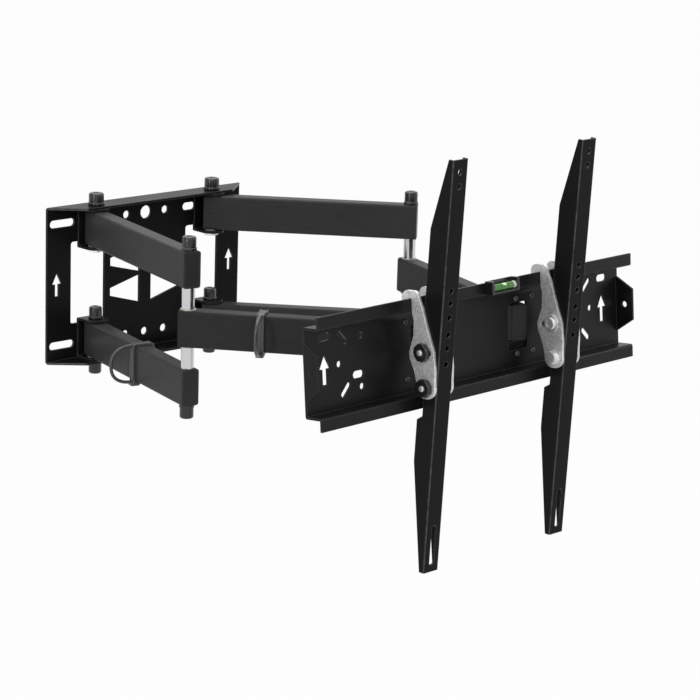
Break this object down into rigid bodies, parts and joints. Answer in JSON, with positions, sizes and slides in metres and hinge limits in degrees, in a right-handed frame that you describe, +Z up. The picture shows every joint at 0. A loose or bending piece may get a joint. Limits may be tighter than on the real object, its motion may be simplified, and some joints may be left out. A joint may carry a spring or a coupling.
{
  "type": "full motion tv wall mount",
  "caption": "Full motion wall mount: paired box-tube arms fold between a slotted wall plate and a channel whose two rails slide, tilt and carry a flat screen.",
  "frame": {"origin": "centre of the wall plate, on its back face where it meets the wall", "axes": "+Z up, +X to the right as seen from the room, -Y from the wall into the room"},
  "size_m": [0.5011, 0.5088, 0.4418],
  "materials": {
    "plate_paint": "satin black powder coat",
    "arm_paint": "satin black powder coat",
    "black_plastic": "moulded black plastic",
    "nylon": "natural nylon",
    "clip_plastic": "dark grey flexible plastic",
    "spacer_chrome": "bright plated tube",
    "zinc": "zinc plated steel",
    "bright_steel": "plated steel",
    "vial": "clear green acrylic"
  },
  "bodies": {
    "wall_side": {"wall_plate": "plate_paint", "upper_left_wall_bracket": "plate_paint", "upper_right_wall_bracket": "plate_paint", "lower_left_wall_bracket": "plate_paint", "lower_right_wall_bracket": "plate_paint", "shoulder_pins": "bright_steel", "shoulder_caps": "black_plastic", "shoulder_nuts": "bright_steel", "shoulder_inner_caps": "black_plastic"},
    "left_rear_arms": {"upper_left_rear_arm": "arm_paint", "lower_left_rear_arm": "arm_paint", "left_shoulder_bushes": "nylon", "left_rear_plugs": "black_plastic", "left_elbow_pin": "bright_steel", "left_elbow_spacers": "spacer_chrome", "left_elbow_caps": "black_plastic", "rear_cable_clip": "clip_plastic"},
    "right_rear_arms": {"upper_right_rear_arm": "arm_paint", "lower_right_rear_arm": "arm_paint", "right_shoulder_bushes": "nylon", "right_rear_plugs": "black_plastic", "right_elbow_pin": "bright_steel", "right_elbow_spacers": "spacer_chrome", "right_elbow_caps": "black_plastic"},
    "left_front_arm_set": {"left_front_arm": "arm_paint", "left_front_bushes": "nylon", "left_front_plugs": "black_plastic", "front_cable_clip": "clip_plastic"},
    "right_front_arm_set": {"right_front_arm": "arm_paint", "right_elbow_bushes": "nylon", "right_head_bushes": "nylon", "right_front_plugs": "black_plastic"},
    "head": {"tv_channel": "plate_paint", "upper_left_head_bracket": "plate_paint", "upper_right_head_bracket": "plate_paint", "lower_left_head_bracket": "plate_paint", "lower_right_head_bracket": "plate_paint", "head_pivot_bolts": "bright_steel", "head_pivot_nuts": "bright_steel", "head_bracket_screws": "bright_steel", "level_housing": "black_plastic", "level_vial": "vial"},
    "left_hanger": {"left_outer_cheek": "zinc", "left_inner_cheek": "zinc", "left_tilt_bolt": "zinc", "left_tilt_nut": "zinc"},
    "left_rail_set": {"left_rail": "plate_paint", "left_lock_bolt": "bright_steel", "left_lock_nut": "bright_steel"},
    "right_hanger": {"right_inner_cheek": "zinc", "right_outer_cheek": "zinc", "right_tilt_bolt": "zinc", "right_tilt_nut": "zinc"},
    "right_rail_set": {"right_rail": "plate_paint", "right_lock_bolt": "bright_steel", "right_lock_nut": "bright_steel"}
  },
  "joints": [
    {"name": "left_shoulder", "type": "hinge", "parent": "wall_side", "child": "left_rear_arms", "pos_m": [-0.084, -0.019, 0], "axis": [0, 0, 1], "range_deg": [-65, 6]},
    {"name": "left_elbow", "type": "hinge", "parent": "left_rear_arms", "child": "left_front_arm_set", "pos_m": [-0.13489, -0.24535, 0], "axis": [0, 0, 1], "range_deg": [-10.34, 110.05]},
    {"name": "head_swivel", "type": "hinge", "parent": "left_front_arm_set", "child": "head", "pos_m": [0.00982, -0.42669, 0], "axis": [0, 0, 1], "range_deg": [-45.05, 4.34]},
    {"name": "right_shoulder", "type": "hinge", "parent": "wall_side", "child": "right_rear_arms", "pos_m": [0.084, -0.019, 0], "axis": [0, 0, 1], "range_deg": [-4.16, 43.1]},
    {"name": "right_elbow", "type": "hinge", "parent": "right_rear_arms", "child": "right_front_arm_set", "pos_m": [0.2386, -0.19199, 0], "axis": [0, 0, 1], "range_deg": [-106.34, 10]},
    {"name": "left_hanger_slide", "type": "slide", "parent": "head", "child": "left_hanger", "axis": [0.9979, 0.0649, 0], "range_m": [-0.095, 0.085]},
    {"name": "right_hanger_slide", "type": "slide", "parent": "head", "child": "right_hanger", "axis": [0.9979, 0.0649, 0], "range_m": [-0.035, 0.1]},
    {"name": "left_tilt", "type": "hinge", "parent": "left_hanger", "child": "left_rail_set", "pos_m": [0.00002, -0.48401, -0.03384], "axis": [0.9979, 0.0649, 0], "range_deg": [-10, 10]},
    {"name": "right_tilt", "type": "hinge", "parent": "right_hanger", "child": "right_rail_set", "pos_m": [0.20459, -0.47071, -0.03384], "axis": [0.9979, 0.0649, 0], "range_deg": [-10, 10]}
  ],
  "couplings": [
    {"joint": "left_elbow", "follows": "left_shoulder", "ratio": -1.69},
    {"joint": "head_swivel", "follows": "left_shoulder", "ratio": 0.69},
    {"joint": "right_shoulder", "follows": "left_shoulder", "ratio": -0.66},
    {"joint": "right_elbow", "follows": "left_shoulder", "ratio": 1.633},
    {"joint": "right_tilt", "follows": "left_tilt", "ratio": 1}
  ]
}
